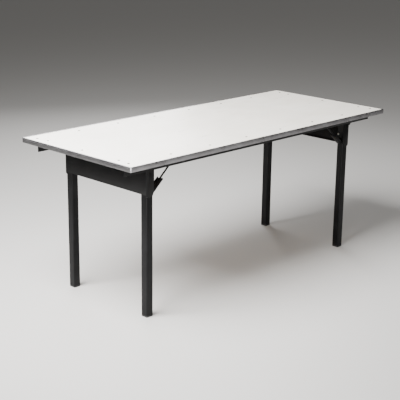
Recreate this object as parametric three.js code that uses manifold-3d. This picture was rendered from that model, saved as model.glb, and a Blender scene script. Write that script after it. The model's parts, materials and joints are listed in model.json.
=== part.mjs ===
// A six-foot folding table: a laminated board in an aluminium edge, carried on two steel rails. A frame of
// two square legs and a folded apron hangs from the rails at each end and folds up under the board. Each
// leg is held upright by a stay that turns on the leg and runs in a track under the board.
//
// The origin is on the floor under the middle of the table: X along it, Y across it, Z up, millimetres.
// Corner pieces are drawn once in corner coordinates (u from the end, v from the long edge, z up) and then
// placed at the four corners.
import * as THREE from 'three';
import { mergeVertices } from 'three/addons/utils/BufferGeometryUtils.js';
import Module from 'manifold-3d';

const manifold = await Module();
manifold.setup();

// Whole table
const LENGTH = 1829;
const WIDTH = 762;
const HEIGHT = 762;
const GAP = 0.3; // between pieces that touch
const OVERSHOOT = 1; // how far a cutting tool passes through, and how deep joined parts go into each other

// Board and its edge
const BOARD_THICKNESS = 19;
const LAMINATE_THICKNESS = 1;
const LAMINATE_GLUE = 0.2;
const LIP_BED = 0.2; // sealant under the trim's lip
const TRIM_WALL = 1.8;
const TRIM_LIP = 7;
const TRIM_FOOT = 12;
const TRIM_LIP_SHEET = 1;
const TRIM_FOOT_SHEET = 1.3;
const TRIM_GROOVE_DEPTH = 0.7;
const TRIM_GROOVE_WIDTH = 2;
const TRIM_GROOVE_SLOPE = 0.4;
const TRIM_GROOVE_BELOW_TOP = 5.4;
const MITRE_GAP = 0.15;

// Rails and battens under the board
const RAIL_INSET_END = 32;
const RAIL_INSET_EDGE = 43;
const RAIL_FLANGE = 38;
const RAIL_DROP = 40;
const RAIL_WALL = 3;
const BATTEN_INSET = 31;
const BATTEN_WIDTH = 38;

// Legs
const TUBE = 38;
const TUBE_WALL = 1.6;
const TUBE_RADIUS = 3.5;
const LEG_INSET_END = 181;
const LEG_BELOW_RAIL_TOP = 18.3;
const FOOT_HEIGHT = 8;
const FOOT_PLUG = 24;

// Apron: one folded sheet that wraps the outside of both legs
const APRON_SHEET = 3;
const APRON_DEPTH = 139;
const CHEEK_BELOW_APRON = 11;
const CHEEK_REACH = 5; // past the inner face of the leg
const CHEEK_CHAMFER = 6;
const CHEEK_TAPER_RISE = 12; // from the apron's bottom to the full reach
const APRON_LIP = 14;

// Hinge between rails and legs
const HINGE_FROM_LEG_INNER = 21;
const HINGE_PIN_RADIUS = 5;
const HINGE_SHOULDER_RADIUS = 9;
const HINGE_SHOULDER_LENGTH = 11.8;
const HANGER_SHEET = 3;
const HANGER_WIDTH = 36;
const HANGER_NOSE_RADIUS = 13;
const HANGER_SIDES_ABOVE_HINGE = 3.3;
const NUT_HEIGHT = 8;
const NUT_RADIUS = 9.8;
const PIN_TAIL = 2.5;

// Stay: a channel and a rod, with a roller at the top
const PIVOT_FROM_LEG = 8;
const PIVOT_BELOW_HINGE = 108;
const ROLLER_PAST_PIVOT = 153;
const CHANNEL_INSIDE_LEG = 3; // outside of the channel, in from the outside of the leg
const CHANNEL_SHEET = 2;
const CHANNEL_TAIL = 4;
const CHANNEL_REACH = 74;
const CHANNEL_OPEN_SIDE = 5.5; // pivot line to the free edges
const CHANNEL_BACK = 6.5; // pivot line to the outside of the web
const ROD_RADIUS = 4.2;
const ROD_START = 12;
const BOSS_RADIUS = 5;
const BOSS_LENGTH = 12;
const PIVOT_PIN_RADIUS = 2.5;
const PIVOT_HEAD_RADIUS = 4.5;
const PIVOT_HEAD_HEIGHT = 2;
const PIVOT_HEAD_CHAMFER = 1;
const ROLLER_PIN_RADIUS = 2.3;
const ROLLER_RADIUS = 4;
const ROLLER_WIDTH = 2.5;
const ROLLER_HEADROOM = 3.6; // over the roller in the track
const ROLLER_SIDE_CLEARANCE = 0.5;

// Leg bracket for the stay
const BRACKET_SHEET = 2;
const BRACKET_HEIGHT = 18;
const BRACKET_ABOVE_PIVOT = 5;
const EAR_RADIUS = 4;
const EAR_TOP_WIDTH = 4;
const EAR_CLEARANCE = 1; // ears inside the channel

// Track under the board
const TRACK_SHEET = 1.7;
const TRACK_SIDE_CLEARANCE = 3; // inside the channel when folded
const TRACK_START_BEFORE_ROLLER = 10;
const TRACK_END_PAST_ROLLER = 12;
const TRACK_BOTTOM_BELOW_ROLLER = 3;

// Levels and places that follow from the sizes above
const laminateTop = HEIGHT - TRIM_LIP_SHEET - LIP_BED;
const boardTop = laminateTop - LAMINATE_THICKNESS - LAMINATE_GLUE;
const boardBottom = boardTop - BOARD_THICKNESS;
const trimBottom = boardBottom - GAP - TRIM_FOOT_SHEET;
const railTop = boardBottom - GAP;
const railInner = RAIL_INSET_EDGE + RAIL_FLANGE;
const hangerFromV = railInner + GAP;
const hangerToV = hangerFromV + HANGER_SHEET;
const shoulderToV = hangerToV + GAP + HINGE_SHOULDER_LENGTH;
const cheekOuterV = shoulderToV + GAP;
const legOuterV = cheekOuterV + APRON_SHEET + GAP;
const legInnerV = legOuterV + TUBE;
const legMiddleU = LEG_INSET_END + TUBE / 2;
const legMiddleV = legOuterV + TUBE / 2;
const legInnerU = LEG_INSET_END + TUBE;
const legTop = railTop - LEG_BELOW_RAIL_TOP;
const apronBottom = legTop - APRON_DEPTH;
const cheekBottom = apronBottom - CHEEK_BELOW_APRON;
const webOuterU = LEG_INSET_END - GAP - APRON_SHEET;
const hingeU = legInnerU - HINGE_FROM_LEG_INNER;
const pivotU = legInnerU + PIVOT_FROM_LEG;
const rollerU = pivotU + ROLLER_PAST_PIVOT;
const rollerHeight = railTop - TRACK_SHEET - ROLLER_HEADROOM - ROLLER_RADIUS;
// A quarter turn about the hinge then brings the stay's pivot up to the level that the roller runs at.
const hingeHeight = rollerHeight - (pivotU - hingeU);
const pivotHeight = hingeHeight - PIVOT_BELOW_HINGE;
const stayLength = Math.hypot(rollerU - pivotU, rollerHeight - pivotHeight);
const stayAngle = Math.atan2(rollerHeight - pivotHeight, rollerU - pivotU);
const foldedPivotU = hingeU + PIVOT_BELOW_HINGE;
const foldedRollerU = foldedPivotU + stayLength;
const bossHalf = BOSS_LENGTH / 2;
const rollerOuterHalf = bossHalf + GAP + ROLLER_WIDTH;
const trackBoreHalf = rollerOuterHalf + ROLLER_SIDE_CLEARANCE;
const trackHalf = trackBoreHalf + TRACK_SHEET;
const channelBoreHalf = trackHalf + TRACK_SIDE_CLEARANCE;
const earOuterHalf = channelBoreHalf - EAR_CLEARANCE;
const channelHalf = channelBoreHalf + CHANNEL_SHEET;
const channelFromV = legOuterV + CHANNEL_INSIDE_LEG;
const stayMiddleV = channelFromV + channelHalf;
const channelToV = stayMiddleV + channelHalf;

const FINISHES = {
  laminate: { color: 0xf1efea, roughness: 0.42, metalness: 0 },
  board: { color: 0xb99a6b, roughness: 0.8, metalness: 0 },
  aluminium: { color: 0xb9bbbd, roughness: 0.35, metalness: 0.9 },
  blackSteel: { color: 0x1b1b1c, roughness: 0.4, metalness: 0.3 },
  zincSteel: { color: 0x9a9c9c, roughness: 0.35, metalness: 0.8 },
  blackPlastic: { color: 0x161616, roughness: 0.6, metalness: 0 },
};

function material(finish) {
  return new THREE.MeshStandardMaterial(FINISHES[finish]);
}

// ---- Solids ----

function toSolid(geometry) {
  const bare = new THREE.BufferGeometry();
  bare.setAttribute('position', geometry.getAttribute('position'));
  if (geometry.index) bare.setIndex(geometry.index);
  const merged = mergeVertices(bare, 1e-4);
  return new manifold.Manifold(new manifold.Mesh({
    numProp: 3,
    vertProperties: new Float32Array(merged.getAttribute('position').array),
    triVerts: new Uint32Array(merged.index.array),
  }));
}

function toGeometry(solid) {
  const mesh = solid.getMesh();
  const geometry = new THREE.BufferGeometry();
  geometry.setAttribute('position', new THREE.BufferAttribute(new Float32Array(mesh.vertProperties), 3));
  geometry.setIndex(new THREE.BufferAttribute(new Uint32Array(mesh.triVerts), 1));
  return geometry;
}

function join(first, ...others) {
  const solid = others.reduce((sum, next) => sum.add(toSolid(next)), toSolid(first));
  return toGeometry(solid);
}

function cut(body, ...tools) {
  const solid = tools.reduce((rest, tool) => rest.subtract(toSolid(tool)), toSolid(body));
  return toGeometry(solid);
}

// A box from one corner to the opposite one.
function block(low, high) {
  const size = high.map((value, axis) => value - low[axis]);
  const geometry = new THREE.BoxGeometry(...size);
  return geometry.translate(...low.map((value, axis) => value + size[axis] / 2));
}

// An outline drawn in X and Z, extruded along Y from one plane to another.
function plateAcross(shape, fromY, toY, curveSegments = 8) {
  const settings = { depth: toY - fromY, bevelEnabled: false, curveSegments };
  const geometry = new THREE.ExtrudeGeometry(shape, settings);
  geometry.rotateX(Math.PI / 2);
  return geometry.translate(0, toY, 0);
}

// A round piece on an axis along Y through (x, z), from [radius, y] steps.
function turnedAcross(x, z, steps, segments = 24) {
  const points = [new THREE.Vector2(0, steps[0][1])];
  steps.forEach(([radius, y]) => points.push(new THREE.Vector2(radius, y)));
  points.push(new THREE.Vector2(0, steps[steps.length - 1][1]));
  return new THREE.LatheGeometry(points, segments).translate(x, 0, z);
}

function drillAcross(x, z, radius, fromY, toY, segments = 24) {
  return turnedAcross(x, z, [[radius, fromY], [radius, toY]], segments);
}

function roundedSquare(side, radius) {
  const h = side / 2;
  const shape = new THREE.Shape();
  shape.moveTo(-h + radius, -h);
  shape.lineTo(h - radius, -h);
  shape.absarc(h - radius, -h + radius, radius, -Math.PI / 2, 0);
  shape.lineTo(h, h - radius);
  shape.absarc(h - radius, h - radius, radius, 0, Math.PI / 2);
  shape.lineTo(-h + radius, h);
  shape.absarc(-h + radius, h - radius, radius, Math.PI / 2, Math.PI);
  shape.lineTo(-h, -h + radius);
  shape.absarc(-h + radius, -h + radius, radius, Math.PI, Math.PI * 1.5);
  return shape;
}

function prismUp(shape, fromZ, toZ) {
  const settings = { depth: toZ - fromZ, bevelEnabled: false, curveSegments: 3 };
  const geometry = new THREE.ExtrudeGeometry(shape, settings);
  return geometry.translate(0, 0, fromZ);
}

// Turns a piece drawn along +X at the origin so that it lies along the stay.
function alongStay(geometry) {
  return geometry.rotateY(-stayAngle).translate(pivotU, 0, pivotHeight);
}

// ---- Board, edge, rails ----

function boardLayer(lowZ, highZ) {
  const halfLength = LENGTH / 2 - TRIM_WALL - GAP;
  const halfWidth = WIDTH / 2 - TRIM_WALL - GAP;
  return block([-halfLength, -halfWidth, lowZ], [halfLength, halfWidth, highZ]);
}

// Section of the edge: distance in from the outside, and height.
function trimSection() {
  const grooveTop = HEIGHT - TRIM_GROOVE_BELOW_TOP;
  const grooveBottom = grooveTop - TRIM_GROOVE_WIDTH;
  return [
    [0, trimBottom],
    [TRIM_FOOT, trimBottom],
    [TRIM_FOOT, boardBottom - GAP],
    [TRIM_WALL, boardBottom - GAP],
    [TRIM_WALL, HEIGHT - TRIM_LIP_SHEET],
    [TRIM_LIP, HEIGHT - TRIM_LIP_SHEET],
    [TRIM_LIP, HEIGHT],
    [TRIM_LIP_SHEET, HEIGHT],
    [0, HEIGHT - TRIM_LIP_SHEET],
    [0, grooveTop],
    [TRIM_GROOVE_DEPTH, grooveTop - TRIM_GROOVE_SLOPE],
    [TRIM_GROOVE_DEPTH, grooveBottom + TRIM_GROOVE_SLOPE],
    [0, grooveBottom],
  ];
}

// A length of edge along X whose ends are cut at 45 degrees, with its outside at y = -offset.
function mitredTrim(halfLength, offset) {
  const section = trimSection();
  const outline = section.map(([inward, z]) => new THREE.Vector2(inward, z));
  const faces = THREE.ShapeUtils.triangulateShape(outline, []);
  const positions = [];
  for (const side of [-1, 1]) {
    section.forEach(([inward, z]) => {
      positions.push(side * (halfLength - inward - MITRE_GAP), -offset + inward, z);
    });
  }
  const count = section.length;
  const index = [];
  faces.forEach(([a, b, c]) => {
    index.push(a, c, b);
    index.push(a + count, b + count, c + count);
  });
  section.forEach((_, i) => {
    const next = (i + 1) % count;
    index.push(i, next, next + count, i, next + count, i + count);
  });
  const geometry = new THREE.BufferGeometry();
  geometry.setAttribute('position', new THREE.BufferAttribute(new Float32Array(positions), 3));
  geometry.setIndex(index);
  return geometry;
}

function sideRail() {
  const shelf = block(
    [RAIL_INSET_END, RAIL_INSET_EDGE, railTop - RAIL_WALL],
    [LENGTH - RAIL_INSET_END, railInner, railTop],
  );
  const web = block(
    [RAIL_INSET_END, railInner - RAIL_WALL, railTop - RAIL_DROP],
    [LENGTH - RAIL_INSET_END, railInner, railTop],
  );
  return join(shelf, web);
}

function endBatten() {
  const fromV = railInner + GAP;
  return block(
    [BATTEN_INSET, fromV, railTop - RAIL_WALL],
    [BATTEN_INSET + BATTEN_WIDTH, WIDTH - fromV, railTop],
  );
}

// ---- Hinge ----

// The hole for the hinge pin, through everything between two planes.
function hingeHole(fromV, toV) {
  return drillAcross(hingeU, hingeHeight, HINGE_PIN_RADIUS + GAP, fromV - OVERSHOOT, toV + OVERSHOOT);
}

function hingeHanger() {
  const fromU = hingeU - HANGER_WIDTH / 2;
  const toU = hingeU + HANGER_WIDTH / 2;
  const sidesEnd = hingeHeight + HANGER_SIDES_ABOVE_HINGE;
  const shape = new THREE.Shape();
  shape.moveTo(fromU, railTop - RAIL_WALL);
  shape.lineTo(fromU, sidesEnd);
  shape.absarc(hingeU, hingeHeight, HANGER_NOSE_RADIUS, Math.PI, Math.PI * 2);
  shape.lineTo(toU, sidesEnd);
  shape.lineTo(toU, railTop - RAIL_WALL);
  return cut(plateAcross(shape, hangerFromV, hangerToV), hingeHole(hangerFromV, hangerToV));
}

function hingePin() {
  const endV = legInnerV + GAP + NUT_HEIGHT + PIN_TAIL;
  return turnedAcross(hingeU, hingeHeight, [
    [HINGE_PIN_RADIUS, hangerFromV],
    [HINGE_PIN_RADIUS, hangerToV + GAP],
    [HINGE_SHOULDER_RADIUS, hangerToV + GAP],
    [HINGE_SHOULDER_RADIUS, shoulderToV],
    [HINGE_PIN_RADIUS, shoulderToV],
    [HINGE_PIN_RADIUS, endV],
  ]);
}

function hingeNut() {
  const fromV = legInnerV + GAP;
  const toV = fromV + NUT_HEIGHT;
  return cut(drillAcross(hingeU, hingeHeight, NUT_RADIUS, fromV, toV, 6), hingeHole(fromV, toV));
}

// ---- Leg frame ----

function legTube() {
  const outline = roundedSquare(TUBE, TUBE_RADIUS);
  outline.holes.push(roundedSquare(TUBE - 2 * TUBE_WALL, TUBE_RADIUS - TUBE_WALL));
  const tube = prismUp(outline, FOOT_HEIGHT + GAP, legTop).translate(legMiddleU, legMiddleV, 0);
  return cut(tube, hingeHole(legOuterV, legInnerV));
}

function footPlug() {
  const bore = TUBE - 2 * TUBE_WALL - 2 * GAP;
  const sole = prismUp(roundedSquare(TUBE, TUBE_RADIUS), 0, FOOT_HEIGHT);
  const plugOutline = roundedSquare(bore, TUBE_RADIUS - TUBE_WALL);
  const plug = prismUp(plugOutline, FOOT_HEIGHT - OVERSHOOT, FOOT_HEIGHT + FOOT_PLUG);
  return join(sole, plug).translate(legMiddleU, legMiddleV, 0);
}

function cheekShape() {
  const innerU = legInnerU + CHEEK_REACH;
  const shape = new THREE.Shape();
  shape.moveTo(webOuterU, legTop);
  shape.lineTo(webOuterU, cheekBottom + CHEEK_CHAMFER);
  shape.lineTo(webOuterU + CHEEK_CHAMFER, cheekBottom);
  shape.lineTo(legInnerU - CHEEK_CHAMFER, cheekBottom);
  shape.lineTo(innerU, apronBottom + CHEEK_TAPER_RISE);
  shape.lineTo(innerU, legTop);
  return shape;
}

function apron() {
  const cheek = plateAcross(cheekShape(), cheekOuterV, cheekOuterV + APRON_SHEET);
  const otherCheek = plateAcross(cheekShape(), WIDTH - cheekOuterV - APRON_SHEET, WIDTH - cheekOuterV);
  const web = block(
    [webOuterU, cheekOuterV, apronBottom],
    [webOuterU + APRON_SHEET, WIDTH - cheekOuterV, legTop],
  );
  const lipFromV = legInnerV + GAP;
  const lip = block(
    [webOuterU, lipFromV, apronBottom],
    [webOuterU + APRON_LIP, WIDTH - lipFromV, apronBottom + APRON_SHEET],
  );
  return cut(join(cheek, otherCheek, web, lip), hingeHole(cheekOuterV, WIDTH - cheekOuterV));
}

// ---- Stay ----

function stayBracket() {
  const plateU = legInnerU + GAP;
  const lowZ = pivotHeight + BRACKET_ABOVE_PIVOT;
  const highZ = lowZ + BRACKET_HEIGHT;
  const ear = new THREE.Shape();
  ear.moveTo(plateU, highZ);
  ear.lineTo(plateU, lowZ + BRACKET_SHEET);
  ear.lineTo(pivotU - EAR_RADIUS, lowZ);
  ear.absarc(pivotU, pivotHeight, EAR_RADIUS, Math.PI, Math.PI * 2);
  ear.lineTo(pivotU + EAR_RADIUS, lowZ);
  ear.lineTo(plateU + EAR_TOP_WIDTH, highZ);
  const plate = block(
    [plateU, stayMiddleV - earOuterHalf, lowZ],
    [plateU + BRACKET_SHEET, stayMiddleV + earOuterHalf, highZ],
  );
  const nearEar = plateAcross(ear, stayMiddleV - earOuterHalf, stayMiddleV - earOuterHalf + BRACKET_SHEET);
  const farEar = plateAcross(ear, stayMiddleV + earOuterHalf - BRACKET_SHEET, stayMiddleV + earOuterHalf);
  const hole = drillAcross(pivotU, pivotHeight, PIVOT_PIN_RADIUS + GAP, channelFromV, channelToV, 16);
  return cut(join(plate, nearEar, farEar), hole);
}

function pivotPin() {
  const fromV = channelFromV - GAP;
  const toV = channelToV + GAP;
  const crownRadius = PIVOT_HEAD_RADIUS - PIVOT_HEAD_CHAMFER;
  return turnedAcross(pivotU, pivotHeight, [
    [crownRadius, fromV - PIVOT_HEAD_HEIGHT],
    [PIVOT_HEAD_RADIUS, fromV - PIVOT_HEAD_HEIGHT + PIVOT_HEAD_CHAMFER],
    [PIVOT_HEAD_RADIUS, fromV],
    [PIVOT_PIN_RADIUS, fromV],
    [PIVOT_PIN_RADIUS, toV],
    [PIVOT_HEAD_RADIUS, toV],
    [PIVOT_HEAD_RADIUS, toV + PIVOT_HEAD_HEIGHT - PIVOT_HEAD_CHAMFER],
    [crownRadius, toV + PIVOT_HEAD_HEIGHT],
  ], 16);
}

function stayChannel() {
  const outside = block(
    [-CHANNEL_TAIL, channelFromV, -CHANNEL_BACK],
    [CHANNEL_REACH, channelToV, CHANNEL_OPEN_SIDE],
  );
  const inside = block(
    [-CHANNEL_TAIL - OVERSHOOT, channelFromV + CHANNEL_SHEET, CHANNEL_SHEET - CHANNEL_BACK],
    [CHANNEL_REACH + OVERSHOOT, channelToV - CHANNEL_SHEET, CHANNEL_OPEN_SIDE + OVERSHOOT],
  );
  const boreRadius = PIVOT_PIN_RADIUS + GAP;
  const hole = drillAcross(0, 0, boreRadius, channelFromV - OVERSHOOT, channelToV + OVERSHOOT, 16);
  return alongStay(cut(outside, inside, hole));
}

function stayRod() {
  const rod = new THREE.CylinderGeometry(ROD_RADIUS, ROD_RADIUS, stayLength - ROD_START, 12);
  rod.rotateZ(Math.PI / 2).translate((stayLength + ROD_START) / 2, stayMiddleV, 0);
  const fromV = stayMiddleV - bossHalf;
  const toV = stayMiddleV + bossHalf;
  const boss = drillAcross(stayLength, 0, BOSS_RADIUS, fromV, toV, 16);
  const boreRadius = ROLLER_PIN_RADIUS + GAP;
  const hole = drillAcross(stayLength, 0, boreRadius, fromV - OVERSHOOT, toV + OVERSHOOT, 16);
  return alongStay(cut(join(rod, boss), hole));
}

function stayRoller() {
  const fromV = stayMiddleV - bossHalf - GAP;
  const toV = stayMiddleV + bossHalf + GAP;
  return turnedAcross(rollerU, rollerHeight, [
    [ROLLER_RADIUS, fromV - ROLLER_WIDTH],
    [ROLLER_RADIUS, fromV],
    [ROLLER_PIN_RADIUS, fromV],
    [ROLLER_PIN_RADIUS, toV],
    [ROLLER_RADIUS, toV],
    [ROLLER_RADIUS, toV + ROLLER_WIDTH],
  ], 16);
}

function stayTrack() {
  const fromU = rollerU - TRACK_START_BEFORE_ROLLER;
  const toU = foldedRollerU + TRACK_END_PAST_ROLLER;
  const bottom = rollerHeight - TRACK_BOTTOM_BELOW_ROLLER;
  const outside = block([fromU, stayMiddleV - trackHalf, bottom], [toU, stayMiddleV + trackHalf, railTop]);
  const inside = block(
    [fromU - OVERSHOOT, stayMiddleV - trackBoreHalf, bottom - OVERSHOOT],
    [toU + OVERSHOOT, stayMiddleV + trackBoreHalf, railTop - TRACK_SHEET],
  );
  return cut(outside, inside);
}

// ---- Assembly ----

const table = new THREE.Group();

function addPiece(name, geometry, finish) {
  const mesh = new THREE.Mesh(geometry, material(finish));
  mesh.name = name;
  table.add(mesh);
  return mesh;
}

// Moves a piece from corner coordinates to an end and a side, mirrored where it has to be.
function placed(geometry, atRight, atBack) {
  const moved = geometry.clone().translate(-LENGTH / 2, -WIDTH / 2, 0);
  moved.deleteAttribute('normal');
  moved.deleteAttribute('uv');
  moved.scale(atRight ? -1 : 1, atBack ? -1 : 1, 1);
  if (atRight === atBack) return moved;
  const whole = moved.index ? moved : mergeVertices(moved, 1e-4);
  const index = whole.index.array;
  for (let i = 0; i < index.length; i += 3) {
    [index[i], index[i + 1]] = [index[i + 1], index[i]];
  }
  return whole;
}

const ENDS = [['left', false], ['right', true]];
const SIDES = [['front', false], ['back', true]];

addPiece('top_board', boardLayer(boardBottom, boardTop), 'board');
addPiece('top_laminate', boardLayer(laminateTop - LAMINATE_THICKNESS, laminateTop), 'laminate');

addPiece('edge_trim_front', mitredTrim(LENGTH / 2, WIDTH / 2), 'aluminium');
addPiece('edge_trim_back', mitredTrim(LENGTH / 2, WIDTH / 2).rotateZ(Math.PI), 'aluminium');
addPiece('edge_trim_left', mitredTrim(WIDTH / 2, LENGTH / 2).rotateZ(-Math.PI / 2), 'aluminium');
addPiece('edge_trim_right', mitredTrim(WIDTH / 2, LENGTH / 2).rotateZ(Math.PI / 2), 'aluminium');

for (const [side, atBack] of SIDES) {
  addPiece(`side_rail_${side}`, placed(sideRail(), false, atBack), 'blackSteel');
}

const CORNER_PIECES = [
  ['hinge_hanger', hingeHanger(), 'blackSteel'],
  ['hinge_pin', hingePin(), 'blackSteel'],
  ['hinge_nut', hingeNut(), 'zincSteel'],
  ['stay_track', stayTrack(), 'zincSteel'],
  ['leg', legTube(), 'blackSteel'],
  ['foot', footPlug(), 'blackPlastic'],
  ['stay_bracket', stayBracket(), 'blackSteel'],
  ['stay_channel', stayChannel(), 'blackSteel'],
  ['stay_rod', stayRod(), 'blackSteel'],
  ['stay_pivot_pin', pivotPin(), 'blackSteel'],
  ['stay_roller', stayRoller(), 'blackPlastic'],
];

for (const [end, atRight] of ENDS) {
  addPiece(`end_batten_${end}`, placed(endBatten(), atRight, false), 'blackSteel');
  addPiece(`apron_${end}`, placed(apron(), atRight, false), 'blackSteel');
  for (const [side, atBack] of SIDES) {
    for (const [name, geometry, finish] of CORNER_PIECES) {
      addPiece(`${name}_${end}_${side}`, placed(geometry, atRight, atBack), finish);
    }
  }
}

export default table;
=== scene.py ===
"""A six-foot folding table with a laminated top, aluminium edge and black steel leg frames.

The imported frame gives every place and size. Sheet metal, tube and board pieces are drawn again
with bends, radii and broken edges, and screws, bolts and rivets are set out in rows.
"""

import json
import logging
import math
from collections.abc import Callable, Iterable
from dataclasses import dataclass, field
from enum import Enum
from typing import ClassVar

import bmesh
import bpy
from mathutils import Matrix, Vector

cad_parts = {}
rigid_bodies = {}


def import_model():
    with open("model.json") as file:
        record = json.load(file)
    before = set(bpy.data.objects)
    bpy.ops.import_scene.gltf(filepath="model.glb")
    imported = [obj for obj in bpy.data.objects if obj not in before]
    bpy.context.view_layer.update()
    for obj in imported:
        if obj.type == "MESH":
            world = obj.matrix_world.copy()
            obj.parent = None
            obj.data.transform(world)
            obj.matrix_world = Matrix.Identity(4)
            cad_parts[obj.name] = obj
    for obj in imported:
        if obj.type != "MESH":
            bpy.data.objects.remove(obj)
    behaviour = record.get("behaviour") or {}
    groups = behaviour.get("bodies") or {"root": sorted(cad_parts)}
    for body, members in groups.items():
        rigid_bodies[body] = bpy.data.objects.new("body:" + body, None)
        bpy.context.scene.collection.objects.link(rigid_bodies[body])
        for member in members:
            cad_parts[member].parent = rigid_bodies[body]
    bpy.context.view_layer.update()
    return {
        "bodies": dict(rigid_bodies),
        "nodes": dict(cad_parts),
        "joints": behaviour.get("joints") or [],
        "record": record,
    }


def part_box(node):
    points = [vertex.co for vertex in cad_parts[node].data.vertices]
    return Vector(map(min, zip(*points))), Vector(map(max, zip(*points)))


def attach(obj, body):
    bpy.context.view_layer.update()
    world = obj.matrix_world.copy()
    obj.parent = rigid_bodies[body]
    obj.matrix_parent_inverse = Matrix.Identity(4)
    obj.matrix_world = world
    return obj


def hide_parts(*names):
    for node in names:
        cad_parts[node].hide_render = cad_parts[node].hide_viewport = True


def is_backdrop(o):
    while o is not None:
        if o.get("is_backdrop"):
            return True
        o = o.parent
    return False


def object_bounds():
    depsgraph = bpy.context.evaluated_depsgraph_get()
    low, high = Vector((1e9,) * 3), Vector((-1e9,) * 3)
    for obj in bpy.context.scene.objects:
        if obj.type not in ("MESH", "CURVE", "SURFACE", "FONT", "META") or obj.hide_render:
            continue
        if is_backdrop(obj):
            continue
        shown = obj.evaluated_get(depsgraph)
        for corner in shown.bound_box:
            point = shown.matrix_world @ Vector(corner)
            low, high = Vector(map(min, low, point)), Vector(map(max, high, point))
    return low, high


Socket = bpy.types.NodeSocket
Shape = bmesh.types.BMesh
Edge = bmesh.types.BMEdge
Pair = tuple[float, float]
Point = tuple[float, float, float]

LOG = logging.getLogger("folding_table")
MM = 0.001
ENDS = {"left": -1.0, "right": 1.0}
SIDES = {"front": -1.0, "back": 1.0}
METRE_MM = 1000.0
WHITE = "FFFFFF"
SAME_POINT = 1e-6
ALONG = 0.98
"""Cosine above which an edge counts as lying along a line."""


# ---- Colours and shader nodes ----


def linear(hex_colour: str) -> tuple[float, float, float, float]:
    """Turns an sRGB hex colour into linear values.

    Args:
        hex_colour: Six hex digits, such as "F1EFEA".

    Returns:
        Linear red, green and blue, and a full alpha.
    """
    values = []
    for start in (0, 2, 4):
        share = int(hex_colour[start : start + 2], 16) / 255
        values.append(share / 12.92 if share <= 0.04045 else ((share + 0.055) / 1.055) ** 2.4)
    return (values[0], values[1], values[2], 1.0)


def per_metre(size_mm: float) -> float:
    """Pattern scale, in features per metre, for a feature of that many millimetres."""
    return METRE_MM / size_mm


def add_node(
    tree: bpy.types.NodeTree,
    kind: str,
    settings: dict[str, object] | None = None,
    inputs: dict[str | int, object] | None = None,
) -> bpy.types.Node:
    """Adds a node, sets it up and links or fills its inputs.

    Args:
        tree: The tree that gets the node.
        kind: The node's type name.
        settings: Properties of the node itself.
        inputs: Value or output socket for each input, by name or place.

    Returns:
        The new node.
    """
    node = tree.nodes.new(kind)
    for name, value in (settings or {}).items():
        setattr(node, name, value)
    for key, value in (inputs or {}).items():
        if isinstance(value, Socket):
            tree.links.new(value, node.inputs[key])
        else:
            node.inputs[key].default_value = value
    return node


class Run(Enum):
    """Which way a length of metal or a board's grain runs."""

    ALONG_X = (1.0, 0.0, 0.0)
    ALONG_Y = (0.0, 1.0, 0.0)

    def stretch(self, along: float, across: float) -> Vector:
        """Scale of a pattern that is drawn out along the run, in features per metre."""
        return Vector([along if axis else across for axis in self.value])


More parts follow.
